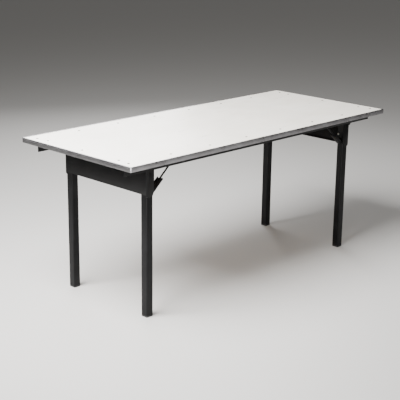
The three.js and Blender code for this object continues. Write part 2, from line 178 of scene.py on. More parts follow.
@dataclass(frozen=True)
class Dressing:
    """A material's tree and shader, and the patterns that dress them."""

    tree: bpy.types.NodeTree
    shader: bpy.types.Node

    NOISE_SPAN: ClassVar[Pair] = (0.3, 0.7)
    """The values between which nearly all of a noise lies."""
    SMOOTHEST: ClassVar[float] = 0.05
    # Places of the colour sockets of a Mix node.
    MIX_A: ClassVar[int] = 6
    MIX_B: ClassVar[int] = 7
    MIX_COLOUR: ClassVar[int] = 2

    def drive(self, name: str, value: Socket) -> None:
        """Links a pattern to an input of the shader."""
        self.tree.links.new(value, self.shader.inputs[name])

    def place(self, stretch: Vector | None = None) -> Socket:
        """Object coordinates.

        Args:
            stretch: How far they are stretched along each axis, if at all.

        Returns:
            The coordinates.
        """
        coordinates = add_node(self.tree, "ShaderNodeTexCoord").outputs["Object"]
        if stretch is None:
            return coordinates
        inputs = {"Vector": coordinates, "Scale": stretch}
        return add_node(self.tree, "ShaderNodeMapping", inputs=inputs).outputs["Vector"]

    def noise(
        self, detail: float, size_mm: float = METRE_MM, stretch: Vector | None = None
    ) -> Socket:
        """A noise on object coordinates.

        Args:
            detail: How many finer layers it has.
            size_mm: Size of its features where it isn't stretched.
            stretch: Features per metre along each axis, for one that is drawn out.

        Returns:
            The noise value.
        """
        inputs = {"Vector": self.place(stretch), "Scale": per_metre(size_mm), "Detail": detail}
        return add_node(self.tree, "ShaderNodeTexNoise", inputs=inputs).outputs["Fac"]

    def ramp(self, factor: Socket, stops: list[tuple[float, str]]) -> Socket:
        """Colours a pattern.

        Args:
            factor: The pattern.
            stops: Position and hex colour of each stop, first to last.

        Returns:
            The colour.
        """
        node = add_node(self.tree, "ShaderNodeValToRGB", inputs={"Fac": factor})
        elements = node.color_ramp.elements
        while len(elements) < len(stops):
            elements.new(0.5)
        for element, (position, colour) in zip(elements, stops):
            element.position = position
            element.color = linear(colour)
        return node.outputs["Color"]

    def mix(self, blend: str, share: object, base: object, over: object) -> Socket:
        """Lays one colour over another.

        Args:
            blend: How they are blended, such as "MIX" or "MULTIPLY".
            share: How much of the upper colour counts, as a value or a pattern.
            base: The colour beneath.
            over: The colour on top.

        Returns:
            The mixed colour.
        """
        settings = {"data_type": "RGBA", "blend_type": blend}
        inputs = {"Factor": share, self.MIX_A: base, self.MIX_B: over}
        return add_node(self.tree, "ShaderNodeMix", settings, inputs).outputs[self.MIX_COLOUR]

    def span(self, factor: Socket, given: Pair, wanted: Pair) -> Socket:
        """Maps a pattern from one span of values to another.

        Args:
            factor: The pattern.
            given: The span that it has.
            wanted: The span that it gets.

        Returns:
            The mapped value.
        """
        inputs = {"Value": factor, "From Min": given[0], "From Max": given[1]}
        inputs |= {"To Min": wanted[0], "To Max": wanted[1]}
        return add_node(self.tree, "ShaderNodeMapRange", inputs=inputs).outputs["Result"]

    def bump(self, height: Socket, strength: float, depth_mm: float) -> None:
        """Bends the shader's normal by a pattern.

        Args:
            height: The pattern that stands up.
            strength: How much of it shows.
            depth_mm: How deep it is.
        """
        inputs = {"Height": height, "Strength": strength, "Distance": depth_mm * MM}
        self.drive("Normal", add_node(self.tree, "ShaderNodeBump", inputs=inputs).outputs["Normal"])

    def vary_roughness(self, factor: Socket, middle: float, spread: float) -> None:
        """Lets the roughness wander with a pattern.

        Args:
            factor: The pattern.
            middle: The finish's own roughness.
            spread: How far it wanders either way.
        """
        wanted = (max(middle - spread, self.SMOOTHEST), middle + spread)
        self.drive("Roughness", self.span(factor, self.NOISE_SPAN, wanted))


@dataclass(frozen=True)
class Finish:
    """What every finish shares: a name, a colour and how it reflects."""

    name: str
    colour: str
    roughness: float
    metallic: float = 0.0
    ior: float = 1.5

    def material(self) -> bpy.types.Material:
        """Builds the material once.

        Returns:
            The material, new or found by its name.
        """
        found = bpy.data.materials.get(self.name)
        if found:
            return found
        made = bpy.data.materials.new(self.name)
        made.use_nodes = True
        made.diffuse_color = linear(self.colour)
        shader = made.node_tree.nodes["Principled BSDF"]
        shader.inputs["Base Color"].default_value = linear(self.colour)
        shader.inputs["Roughness"].default_value = self.roughness
        shader.inputs["Metallic"].default_value = self.metallic
        if not self.metallic:
            shader.inputs["IOR"].default_value = self.ior
        self.dress(Dressing(made.node_tree, shader))
        return made

    def dress(self, on: Dressing) -> None:
        """Adds the pattern of this finish to a material. The plain finish has none."""


@dataclass(frozen=True)
class PressedLaminate(Finish):
    """High-pressure melamine laminate from a satin plate: a pale sheet with a soft, broad gloss."""

    tint_low: str = "EBE5DA"
    tint_high: str = "F6F1E8"
    wiped_tint: str = "E9E6DF"
    wiped_share: float = 0.35
    wipes_per_metre: float = 6.0
    wipe_mm: float = 34.0
    cloud_mm: float = 260.0
    pebble_mm: float = 2.6
    pebble_depth_mm: float = 0.05
    roughness_spread: float = 0.06
    coat: float = 0.08
    coat_roughness: float = 0.25

    def dress(self, on: Dressing) -> None:
        """Clouds the white a little, and adds faint wiping marks and the plate's soft pebble.

        Args:
            on: The material that is dressed.
        """
        clouds = on.noise(4.0, self.cloud_mm)
        colour = on.ramp(clouds, [(0.3, self.tint_low), (0.7, self.tint_high)])
        stretch = Run.ALONG_X.stretch(self.wipes_per_metre, per_metre(self.wipe_mm))
        wiped = on.noise(5.0, stretch=stretch)
        marks = on.ramp(wiped, [(0.62, WHITE), (0.8, self.wiped_tint)])
        on.drive("Base Color", on.mix("MULTIPLY", self.wiped_share, colour, marks))
        on.vary_roughness(wiped, self.roughness, self.roughness_spread)
        # A satin plate's pebble is about 1 mm; it is drawn coarser so that it shows.
        on.bump(on.noise(2.0, self.pebble_mm), 0.12, self.pebble_depth_mm)
        on.shader.inputs["Coat Weight"].default_value = self.coat
        on.shader.inputs["Coat Roughness"].default_value = self.coat_roughness


@dataclass(frozen=True)
class ExtrudedAluminium(Finish):
    """Mill-finish aluminium extrusion: a soft grey metal with fine lines drawn along its length."""

    run: Run = Run.ALONG_X
    line_mm: float = 0.9
    lines_per_metre: float = 5.0
    line_depth_mm: float = 0.05
    stain_mm: float = 45.0
    dull: str = "918F92"
    roughness_spread: float = 0.09
    anisotropy: float = 0.35

    def dress(self, on: Dressing) -> None:
        """Draws the die lines along the length, and dulls patches where hands have been.

        Args:
            on: The material that is dressed.
        """
        stretch = self.run.stretch(self.lines_per_metre, per_metre(self.line_mm))
        lines = on.noise(3.0, stretch=stretch)
        stains = on.noise(4.0, self.stain_mm)
        on.drive("Base Color", on.ramp(stains, [(0.25, self.dull), (0.65, self.colour)]))
        on.vary_roughness(stains, self.roughness, self.roughness_spread)
        # Real die lines are well under 0.5 mm apart; they are drawn coarser so that they show.
        on.bump(lines, 0.15, self.line_depth_mm)
        on.shader.inputs["Anisotropic"].default_value = self.anisotropy


@dataclass(frozen=True)
class PowderCoat(Finish):
    """Black polyester powder coat, baked on steel: deep black with a soft gloss and orange peel."""

    peel_mm: float = 1.6
    peel_depth_mm: float = 0.06
    patch_mm: float = 70.0
    rubbed: str = "151516"
    dust: str = "403E3B"
    dust_share: float = 0.22
    dust_slope: float = 0.5
    roughness_spread: float = 0.07

    def dress(self, on: Dressing) -> None:
        """Adds orange peel, rubbed patches and a little dust on what faces up.

        Args:
            on: The material that is dressed.
        """
        patches = on.noise(5.0, self.patch_mm)
        colour = on.ramp(patches, [(0.45, self.colour), (0.8, self.rubbed)])
        normal = add_node(on.tree, "ShaderNodeTexCoord").outputs["Normal"]
        parts = add_node(on.tree, "ShaderNodeSeparateXYZ", inputs={"Vector": normal})
        settled = on.span(parts.outputs["Z"], (self.dust_slope, 1.0), (0.0, self.dust_share))
        on.drive("Base Color", on.mix("MIX", settled, colour, linear(self.dust)))
        on.vary_roughness(patches, self.roughness, self.roughness_spread)
        # Real orange peel is about 1 mm; it is drawn a little coarser so that it shows.
        on.bump(on.noise(1.5, self.peel_mm), 0.22, self.peel_depth_mm)


@dataclass(frozen=True)
class ZincPlate(Finish):
    """Zinc plating on pressed steel: a cool grey metal with faint yellow passivation."""

    crystal_mm: float = 5.0
    crystal_depth_mm: float = 0.03
    tint_mm: float = 22.0
    passivated: str = "A9A386"
    roughness_spread: float = 0.1

    def dress(self, on: Dressing) -> None:
        """Breaks the plate into soft crystals and tints some of it.

        Args:
            on: The material that is dressed.
        """
        inputs = {"Vector": on.place(), "Scale": per_metre(self.crystal_mm)}
        crystals = add_node(on.tree, "ShaderNodeTexVoronoi", inputs=inputs).outputs["Distance"]
        tint = on.noise(3.0, self.tint_mm)
        on.drive("Base Color", on.ramp(tint, [(0.35, self.passivated), (0.6, self.colour)]))
        on.vary_roughness(crystals, self.roughness, self.roughness_spread)
        on.bump(crystals, 0.1, self.crystal_depth_mm)


@dataclass(frozen=True)
class BirchPlywood(Finish):
    """Sealed birch plywood: pale rotary-cut veneer with long, wandering grain."""

    run: Run = Run.ALONG_X
    dark: str = "8E6A41"
    pale: str = "C9A877"
    pore_tint: str = "B9A58C"
    pore_share: float = 0.6
    figure_mm: float = 60.0
    figures_per_metre: float = 1.6
    pore_mm: float = 1.75
    pores_per_metre: float = 22.0
    pore_depth_mm: float = 0.08
    roughness_spread: float = 0.08

    def dress(self, on: Dressing) -> None:
        """Draws broad figure and fine pores along the grain.

        Args:
            on: The material that is dressed.
        """
        broad = self.run.stretch(self.figures_per_metre, per_metre(self.figure_mm))
        fine = self.run.stretch(self.pores_per_metre, per_metre(self.pore_mm))
        figure = on.noise(5.0, stretch=broad)
        pores = on.noise(2.0, stretch=fine)
        colour = on.ramp(figure, [(0.3, self.dark), (0.5, self.colour), (0.72, self.pale)])
        shade = on.ramp(pores, [(0.35, self.pore_tint), (0.6, WHITE)])
        on.drive("Base Color", on.mix("MULTIPLY", self.pore_share, colour, shade))
        on.vary_roughness(figure, self.roughness, self.roughness_spread)
        on.bump(pores, 0.3, self.pore_depth_mm)


@dataclass(frozen=True)
class MouldedNylon(Finish):
    """Moulded black nylon: a dull, slightly grainy plastic that greys where it is scuffed."""

    grain_mm: float = 1.2
    grain_depth_mm: float = 0.08
    scuff_mm: float = 9.0
    scuffed: str = "3A3A3A"

    def dress(self, on: Dressing) -> None:
        """Adds the mould's grain and scuffs.

        Args:
            on: The material that is dressed.
        """
        scuffs = on.noise(5.0, self.scuff_mm)
        on.drive("Base Color", on.ramp(scuffs, [(0.5, self.colour), (0.82, self.scuffed)]))
        on.bump(on.noise(2.0, self.grain_mm), 0.3, self.grain_depth_mm)


LAMINATE = PressedLaminate("pressed_laminate", "F1EDE6", 0.33, ior=1.5)
EDGE_ALONG_X = ExtrudedAluminium("extruded_aluminium_long", "ABAAAD", 0.33, 1.0, run=Run.ALONG_X)
# The end trims' darker grey is painted shade: the same aluminium as the long trims, drawn darker
# where less light falls on it.
EDGE_ALONG_Y_SHADED = ExtrudedAluminium("extruded_aluminium_short_painted_shade", "8C8B8C", 0.36, 1.0, run=Run.ALONG_Y)
COAT = PowderCoat("black_powder_coat", "09090A", 0.4, ior=1.25)
ZINC = ZincPlate("zinc_plate", "BFC2C4", 0.32, 1.0)
# Screw heads drawn dark, dull and not metallic: partly the oxide on old heads, partly painted shade
# of the countersunk holes round them.
WORN_AND_SHADED_ZINC = ZincPlate("worn_zinc_plate_and_painted_shade", "38362E", 0.62, ior=1.25, passivated="2B2A24")
PLYWOOD = BirchPlywood("birch_plywood", "B08C5B", 0.55)
NYLON = MouldedNylon("moulded_nylon", "101010", 0.55, ior=1.53)


# ---- Meshes ----


def new_piece(
    name: str, mesh: bpy.types.Mesh, finish: Finish, body: str
) -> bpy.types.Object:
    """Puts a finished mesh in the scene.

    Args:
        name: The piece's name.
        mesh: Its mesh, in place.
        finish: What it is made of.
        body: The body that it moves with.

    Returns:
        The new object.
    """
    mesh.materials.clear()
    mesh.materials.append(finish.material())
    piece = bpy.data.objects.new(name, mesh)
    bpy.context.collection.objects.link(piece)
    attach(piece, body)
    LOG.info("%s: %d faces on %s", name, len(mesh.polygons), body)
    return piece


def to_mesh(name: str, shape: Shape, smooth_deg: float = 38.0) -> bpy.types.Mesh:
    """Writes a shape to a new mesh, smooth except across sharp edges, and frees the shape.

    Args:
        name: The mesh's name.
        shape: What is written.
        smooth_deg: Edges that turn by more than this stay sharp.

    Returns:
        The new mesh.
    """
    mesh = bpy.data.meshes.new(name)
    shape.normal_update()
    shape.to_mesh(mesh)
    shape.free()
    mesh.shade_smooth()
    mesh.set_sharp_from_angle(angle=math.radians(smooth_deg))
    return mesh


def skinned(rings: list[list[Point]], closed: bool = False) -> Shape:
    """Skins rings of points, which all have the same count.

    Args:
        rings: The points of each ring, in order.
        closed: Whether the last ring joins the first, so that no end needs a cap.

    Returns:
        The skin, closed at both ends.
    """
    shape = bmesh.new()
    loops = [[shape.verts.new(point) for point in ring] for ring in rings]
    following = loops[1:] + loops[:1] if closed else loops[1:]
    for low, high in zip(loops, following):
        for step in range(len(low)):
            after = (step + 1) % len(low)
            shape.faces.new((low[step], low[after], high[after], high[step]))
    if not closed:
        shape.faces.new(loops[0])
        shape.faces.new(loops[-1])
    bmesh.ops.remove_doubles(shape, verts=shape.verts[:], dist=SAME_POINT)
    bmesh.ops.recalc_face_normals(shape, faces=shape.faces[:])
    return shape


def turned(profile: list[Pair], segments: int) -> Shape:
    """A closed round piece on the Z axis.

    Args:
        profile: Radius and height of each step from one end to the other.
        segments: Sides of the round.

    Returns:
        The piece, closed at both ends.
    """
    rings = []
    for radius, height in profile:
        turns = [math.tau * step / segments for step in range(segments)]
        rings.append([(radius * math.cos(a), radius * math.sin(a), height) for a in turns])
    return skinned(rings)


def aim(start: Vector, direction: Vector) -> Matrix:
    """A matrix that stands a piece's Z axis along a direction, from a start point."""
    return Matrix.Translation(start) @ direction.to_track_quat("Z", "Y").to_matrix().to_4x4()


def merged(shapes: Iterable[Shape]) -> Shape:
    """Puts several shapes in one and frees them.

    Args:
        shapes: The shapes, each in place.

    Returns:
        One shape of them all.
    """
    whole = bmesh.new()
    for shape in shapes:
        loose = bpy.data.meshes.new("loose")
        shape.to_mesh(loose)
        shape.free()
        whole.from_mesh(loose)
        bpy.data.meshes.remove(loose)
    return whole


@dataclass
class Bend:
    """A radius for the edges that a rule picks out."""

    picks: Callable[[Edge], bool]
    radius_mm: float
    segments: int = 4


def is_fold(edge: Edge, least_deg: float = 25.0) -> bool:
    """Whether an edge turns by more than an angle."""
    return len(edge.link_faces) == 2 and edge.calc_face_angle(0.0) > math.radians(least_deg)


def is_concave(edge: Edge) -> bool:
    """Whether an edge is an inside corner."""
    return is_fold(edge) and not edge.is_convex


def runs_along(edge: Edge, axis: int) -> bool:
    """Whether an edge lies along an axis."""
    line = edge.verts[1].co - edge.verts[0].co
    return line.length > 0 and abs(line[axis]) > ALONG * line.length


@dataclass
class RefinedNode:
    """A frame solid drawn again with merged faces, bends and broken edges."""

    node: str
    finish: Finish
    body: str
    slot: str
    break_mm: float = 0.5
    bends: list[Bend] = field(default_factory=list)
    segments: int = 2

    WELD: ClassVar[float] = 0.01 * MM
    FLAT_DEG: ClassVar[float] = 0.5

    def draw(self, frame: dict) -> None:
        """Draws the piece in the node's place.
        """
        shape = bmesh.new()
        shape.from_mesh(frame["nodes"][self.node].data)
        bmesh.ops.remove_doubles(shape, verts=shape.verts[:], dist=self.WELD)
        bmesh.ops.dissolve_limit(
            shape,
            angle_limit=math.radians(self.FLAT_DEG),
            verts=shape.verts[:],
            edges=shape.edges[:],
        )
        for bend in self.bends:
            self.round_off(shape, bend)
        if self.break_mm:
            self.round_off(shape, Bend(is_fold, self.break_mm, self.segments))
        mesh = to_mesh(self.node, shape)
        piece = new_piece(f"{self.node}_finished", mesh, self.finish, self.body)
        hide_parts(self.node)

    @staticmethod
    def round_off(shape: Shape, bend: Bend) -> None:
        """Rounds the edges that a bend picks out.

        Args:
            shape: The shape that is rounded.
            bend: Which edges, and by how much.
        """
        edges = [edge for edge in shape.edges if bend.picks(edge)]
        if not edges:
            return
        bmesh.ops.bevel(
            shape,
            geom=edges,
            offset=bend.radius_mm * MM,
            offset_type="OFFSET",
            segments=bend.segments,
            profile=0.5,
            affect="EDGES",
            clamp_overlap=True,
        )


# ---- Fasteners ----


class HeadKind(Enum):
    """The heads used on the table."""

    COUNTERSUNK = "countersunk_screw"
    BUTTON = "button_bolt"
    RIVET = "dome_rivet"


@dataclass(frozen=True)
class Head:
    """A fastener head on the Z axis, with its underside at zero."""

    kind: HeadKind
    radius_mm: float
    height_mm: float
    segments: int = 24

    RIM: ClassVar[float] = 0.97
    SUNK_RIM: ClassVar[float] = 0.96
    BELLY: ClassVar[float] = 0.4
    FLAT_CROWN: ClassVar[Pair] = (0.5, 0.78)
    ROUND_CROWN: ClassVar[Pair] = (0.2, 0.52)
    """Height of the rim and width of the flat top, as shares of the head."""
    CROWN_STEPS: ClassVar[int] = 4
    CROSS_REACH: ClassVar[float] = 0.72
    CROSS_SLOT: ClassVar[float] = 0.2
    CROSS_TAPER: ClassVar[float] = 0.8
    CROSS_DEPTH: ClassVar[float] = 0.55

    def shape(self) -> Shape:
        """Draws the head.

        Returns:
            The head, with a cross for the driver unless it is a rivet.
        """
        radius, height = self.radius_mm * MM, self.height_mm * MM
        flat = self.kind is HeadKind.COUNTERSUNK
        rim_share, crown = self.FLAT_CROWN if flat else self.ROUND_CROWN
        rim = height * rim_share
        widest = (radius, rim * self.BELLY)
        profile = [(radius * self.SUNK_RIM, -rim), widest, (radius * self.RIM, rim)]
        for step in range(1, self.CROWN_STEPS):
            turn = step / self.CROWN_STEPS * math.pi / 2
            width = crown + (self.RIM - crown) * math.cos(turn)
            profile.append((radius * width, rim + (height - rim) * math.sin(turn)))
        dome = turned(profile, self.segments)
        if self.kind is HeadKind.RIVET:
            return dome
        return self.with_recess(dome, radius * crown)

    def with_recess(self, dome: Shape, reach: float) -> Shape:
        """Sinks a cross for the driver in the top of a head.

        Args:
            dome: The head, whose top is one flat face.
            reach: Radius of that face.

        Returns:
            The head with its recess.
        """
        dome.faces.ensure_lookup_table()
        top = max(dome.faces, key=lambda face: face.calc_center_median().z)
        level = top.calc_center_median().z
        rim_edges = list(top.edges)
        bmesh.ops.delete(dome, geom=[top], context="FACES_ONLY")
        long, slim = reach * self.CROSS_REACH, reach * self.CROSS_SLOT
        corners = [(long, -slim), (long, slim), (slim, slim)]
        corners += [(slim, long), (-slim, long), (-slim, slim)]
        corners += [(-x, -y) for x, y in corners]
        taper, bottom = self.CROSS_TAPER, level - reach * self.CROSS_DEPTH
        upper = [dome.verts.new((x, y, level)) for x, y in corners]
        lower = [dome.verts.new((x * taper, y * taper, bottom)) for x, y in corners]
        count = len(corners)
        cross_edges = [dome.edges.new((upper[i], upper[(i + 1) % count])) for i in range(count)]
        bmesh.ops.triangle_fill(dome, use_beauty=True, edges=rim_edges + cross_edges)
        inside = [f for f in dome.faces if all(v in upper for v in f.verts)]
        bmesh.ops.delete(dome, geom=inside, context="FACES_ONLY")
        for i in range(count):
            after = (i + 1) % count
            dome.faces.new((upper[i], upper[after], lower[after], lower[i]))
        dome.faces.new(lower)
        bmesh.ops.recalc_face_normals(dome, faces=dome.faces[:])
        return dome


@dataclass(frozen=True)
class Row:
    """Equally spaced heads: how many, from where, how far apart and which way they face."""

    count: int
    start: Vector
    step: Vector
    facing: Vector


class FastenerRows:
    """Sets heads out in rows with one geometry tree and bakes them to one mesh for a body."""

    SEED: ClassVar[int] = 7
    INPUTS: ClassVar[dict[str, str]] = {
        "Geometry": "Geometry", "Count": "Int", "Start": "Vector", "Step": "Vector",
        "Turn": "Vector", "Head": "Object", "Finish": "Material",
    }

    def __init__(self) -> None:
        """Builds the tree that every row uses."""
        self.tree = bpy.data.node_groups.new("fastener_row", "GeometryNodeTree")
        face = self.tree.interface
        self.sockets = {
            label: face.new_socket(name=label, in_out="INPUT", socket_type=f"NodeSocket{kind}")
            for label, kind in self.INPUTS.items()
        }
        face.new_socket(name="Geometry", in_out="OUTPUT", socket_type="NodeSocketGeometry")
        self.wire()

    def wire(self) -> None:
        """Links line, heads, a turn of each head about its own axis, and the finish."""
        given = add_node(self.tree, "NodeGroupInput").outputs
        line = add_node(
            self.tree,
            "GeometryNodeMeshLine",
            {"mode": "OFFSET"},
            {"Count": given["Count"], "Start Location": given["Start"], "Offset": given["Step"]},
        )
        head = add_node(self.tree, "GeometryNodeObjectInfo", inputs={"Object": given["Head"]})
        copies = add_node(
            self.tree,
            "GeometryNodeInstanceOnPoints",
            inputs={
                "Points": line.outputs["Mesh"],
                "Instance": head.outputs["Geometry"],
                "Rotation": given["Turn"],
            },
        )
        # Places of the number sockets, whose names the node shares with its other kinds.
        least, most, number = 2, 3, 1
        spin = add_node(
            self.tree,
            "FunctionNodeRandomValue",
            {"data_type": "FLOAT"},
            {least: 0.0, most: math.tau, "Seed": self.SEED},
        )
        about_axis = add_node(self.tree, "ShaderNodeCombineXYZ", inputs={"Z": spin.outputs[number]})
        for kind, socket, extra in (
            ("RotateInstances", "Instances", {"Rotation": about_axis.outputs["Vector"]}),
            ("RealizeInstances", "Geometry", {}),
            ("SetMaterial", "Geometry", {"Material": given["Finish"]}),
        ):
            inputs = {socket: copies.outputs[0], **extra}
            copies = add_node(self.tree, f"GeometryNode{kind}", inputs=inputs)
        add_node(self.tree, "NodeGroupOutput", inputs={"Geometry": copies.outputs["Geometry"]})

    def bake(
        self, name: str, head: Head, rows: list[Row], finish: Finish, body: str
    ) -> None:
        """Bakes rows of one head to one piece.

        Args:
            name: The piece's name.
            head: The head that repeats.
            rows: Where the heads go.
            finish: What they are made of.
            body: The body that they move with.
        """
        source = bpy.data.objects.new("head_source", to_mesh("head_source", head.shape()))
        bpy.context.collection.objects.link(source)
        whole = bmesh.new()
        for row in rows:
            carrier = bpy.data.objects.new("row_carrier", bpy.data.meshes.new("row_carrier"))
            bpy.context.collection.objects.link(carrier)
            modifier = carrier.modifiers.new("rows", "NODES")
            modifier.node_group = self.tree
            values = {
                "Count": row.count,
                "Start": row.start,
                "Step": row.step,
                "Turn": row.facing.to_track_quat("Z", "Y").to_euler(),
                "Head": source,
                "Finish": finish.material(),
            }
            for label, value in values.items():
                modifier[self.sockets[label].identifier] = value
            evaluated = carrier.evaluated_get(bpy.context.evaluated_depsgraph_get())
            baked = bpy.data.meshes.new_from_object(evaluated)
            whole.from_mesh(baked)
            carrier.modifiers.remove(modifier)
            bpy.data.objects.remove(carrier)
            bpy.data.meshes.remove(baked)
        bpy.data.objects.remove(source)
        new_piece(name, to_mesh(name, whole), finish, body)


# ---- Sub-assemblies ----


@dataclass
class EdgeTrim:
    """One length of the aluminium edge, rounded at the table's corners and mitred inside them."""

    name: str
    finish: Finish
    corner_radius: float = 6.5 * MM
    corner_steps: int = 6
    mitre_gap: float = 0.15 * MM
    wall: float = 1.8 * MM
    lip_width: float = 7 * MM
    lip_sheet: float = 1.0 * MM
    foot_width: float = 12 * MM
    foot_sheet: float = 1.3 * MM
    shoulder_radius: float = 1.6 * MM
    toe_radius: float = 0.5 * MM
    groove_low: float = 15.6 * MM
    groove_width: float = 2.0 * MM
    groove_depth: float = 0.7 * MM

    GROOVE: ClassVar[tuple[Pair, ...]] = (
        (0.0, 0.0), (0.7, 0.12), (1.0, 0.35),
        (1.0, 0.65), (0.7, 0.88), (0.0, 1.0),
    )
    """Shares of the groove's depth and width, from its lower lip to its upper one."""
    QUARTER_STEPS: ClassVar[int] = 4

    def section(self) -> list[Pair]:
        """The trim's section, from the toe up the outside.

        Returns:
            Distance in from the outside and height of each point.
        """
        low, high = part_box("edge_trim_front")
        base, top = low[2], high[2]
        toe, shoulder = self.toe_radius, self.shoulder_radius
        groove = base + self.groove_low
        width, depth = self.groove_width, self.groove_depth
        return [
            (self.foot_width, base + self.foot_sheet),
            (self.foot_width, base + toe),
            (self.foot_width - toe, base),
            *self.quarter(toe, base + toe, -90, -180),
            *[(depth * inward, groove + width * up) for inward, up in self.GROOVE],
            *self.quarter(shoulder, top - shoulder, 180, 90),
            (self.lip_width - self.lip_sheet / 2, top),
            (self.lip_width, top - self.lip_sheet / 2),
            (self.lip_width - self.lip_sheet / 4, top - self.lip_sheet),
            (self.wall, top - self.lip_sheet),
            (self.wall, base + self.foot_sheet),
        ]

    def quarter(self, radius: float, height: float, start: float, stop: float) -> list[Pair]:
        """A quarter round that touches the outside.

        Args:
            radius: Its radius, which is also how far in its middle lies.
            height: Height of its middle.
            start: Angle of its first point, in degrees.
            stop: Angle of its last point, in degrees.

        Returns:
            Distance in and height of each point.
        """
        points = []
        for step in range(self.QUARTER_STEPS + 1):
            angle = math.radians(start + (stop - start) * step / self.QUARTER_STEPS)
            points.append((radius + radius * math.cos(angle), height + radius * math.sin(angle)))
        return points

    def ring(self, half_length: float, turn: float, at: float) -> list[Point]:
        """The section at one station, with the outside of the trim on the X axis.

        Args:
            half_length: From the middle of the trim to the outer corner.
            turn: Angle round the corner, in radians.
            at: Which end the station is towards, -1 or 1.

        Returns:
            A point for each point of the section.
        """
        radius = self.corner_radius
        points = []
        for inward, height in self.section():
            reach = max(radius - inward, 0.0)
            beyond = max(inward - radius, 0.0)
            along = half_length - radius - beyond + reach * math.sin(turn)
            across = radius + beyond - reach * math.cos(turn)
            points.append((at * (along - self.mitre_gap), across, height))
        return points

    def build(self) -> None:
        """Sweeps the section along one side and half-way round the corner at each end."""
        node = f"edge_trim_{self.name}"
        low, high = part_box(node)
        lengthwise = 0 if self.name in SIDES else 1
        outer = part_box(f"edge_trim_{'left' if lengthwise else 'front'}")[0][1 - lengthwise]
        half_length = (high[lengthwise] - low[lengthwise]) / 2 + self.mitre_gap
        steps = range(self.corner_steps, -1, -1)
        turns = [math.pi / 4 * step / self.corner_steps for step in steps]
        rings = [self.ring(half_length, turn, -1.0) for turn in turns]
        rings += [self.ring(half_length, turn, 1.0) for turn in reversed(turns)]
        shape = skinned(rings)
        quarter_turns = ("front", "right", "back", "left").index(self.name)
        facing = Matrix.Rotation(quarter_turns * math.pi / 2, 4, "Z")
        shape.transform(facing @ Matrix.Translation((0.0, outer, 0.0)))
        mesh = to_mesh("edge_trim", shape)
        piece = new_piece(f"{node}_finished", mesh, self.finish, "top")
        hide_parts(node)


@dataclass
class Top:
    """Board, laminate, aluminium edge, rails and battens, and the screws that go through them."""

    screw_from_edge: float = 62 * MM
    screw_from_end: float = 43 * MM
    screws_along: int = 8
    end_row_from_end: float = 50 * MM
    end_row_pitch: float = 248 * MM
    end_row_count: int = 3
    screw: Head = Head(HeadKind.COUNTERSUNK, 5.9, 0.9)
    rivet: Head = Head(HeadKind.RIVET, 4.6, 2.2)
    rivet_spread: float = 0.55
    rivet_drop: float = 16 * MM
    rail_wall: float = 3 * MM
    rail_root_mm: float = 4.0

    def build(self, frame: dict, rows: FastenerRows) -> None:
        """Draws everything that stays with the top.

        Args:
            rows: What sets the fasteners out.
        """
        RefinedNode("top_board", PLYWOOD, "top", "board", 0.6).draw(frame)
        RefinedNode("top_laminate", LAMINATE, "top", "laminate", 0.2, segments=1).draw(frame)
        for side in SIDES:
            self.rail(side).draw(frame)
            EdgeTrim(side, EDGE_ALONG_X).build()
        for end in ENDS:
            # The end trims take the darker copy of the aluminium, which is painted shade.
            EdgeTrim(end, EDGE_ALONG_Y_SHADED).build()
            RefinedNode(f"end_batten_{end}", COAT, "top", "black_steel", 0.6).draw(frame)
        # The screw heads' dark finish is partly oxide and partly painted shade of their countersunk
        # holes.
        rows.bake("top_screws", self.screw, self.screw_rows(), WORN_AND_SHADED_ZINC, "top")
        rows.bake("hanger_rivets", self.rivet, self.rivet_rows(), COAT, "top")

    def rail(self, side: str) -> RefinedNode:
        """A rolled angle: round in the root, softer at the toes."""
        root = Bend(is_concave, self.rail_root_mm, 5)
        return RefinedNode(f"side_rail_{side}", COAT, "top", "black_steel", 0.9, [root])

    def screw_rows(self) -> list[Row]:
        """Rows along both long edges and across both ends.

        Returns:
            Four rows.
        """
        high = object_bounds()[1]
        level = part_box("top_laminate")[1][2]
        up = Vector((0, 0, 1))
        reach = high[0] - self.screw_from_end
        pitch = 2 * reach / (self.screws_along - 1)
        rows = []
        for side in SIDES.values():
            start = Vector((-reach, side * (high[1] - self.screw_from_edge), level))
            rows.append(Row(self.screws_along, start, Vector((pitch, 0, 0)), up))
        for end in ENDS.values():
            first = -self.end_row_pitch * (self.end_row_count - 1) / 2
            start = Vector((end * (high[0] - self.end_row_from_end), first, level))
            rows.append(Row(self.end_row_count, start, Vector((0, self.end_row_pitch, 0)), up))
        return rows

    def rivet_rows(self) -> list[Row]:
        """Two rivets through the rail at each hinge hanger.

        Returns:
            A row for each hanger.
        """
        rows = []
        for end in ENDS:
            for side, sign in SIDES.items():
                low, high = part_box(f"hinge_hanger_{end}_{side}")
                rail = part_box(f"side_rail_{side}")
                inner = rail[0][1] if sign > 0 else rail[1][1]
                pitch = (high[0] - low[0]) * self.rivet_spread
                first = (low[0] + high[0] - pitch) / 2
                start = Vector((first, inner + sign * self.rail_wall, high[2] - self.rivet_drop))
                rows.append(Row(2, start, Vector((pitch, 0, 0)), Vector((0, sign, 0))))
        return rows


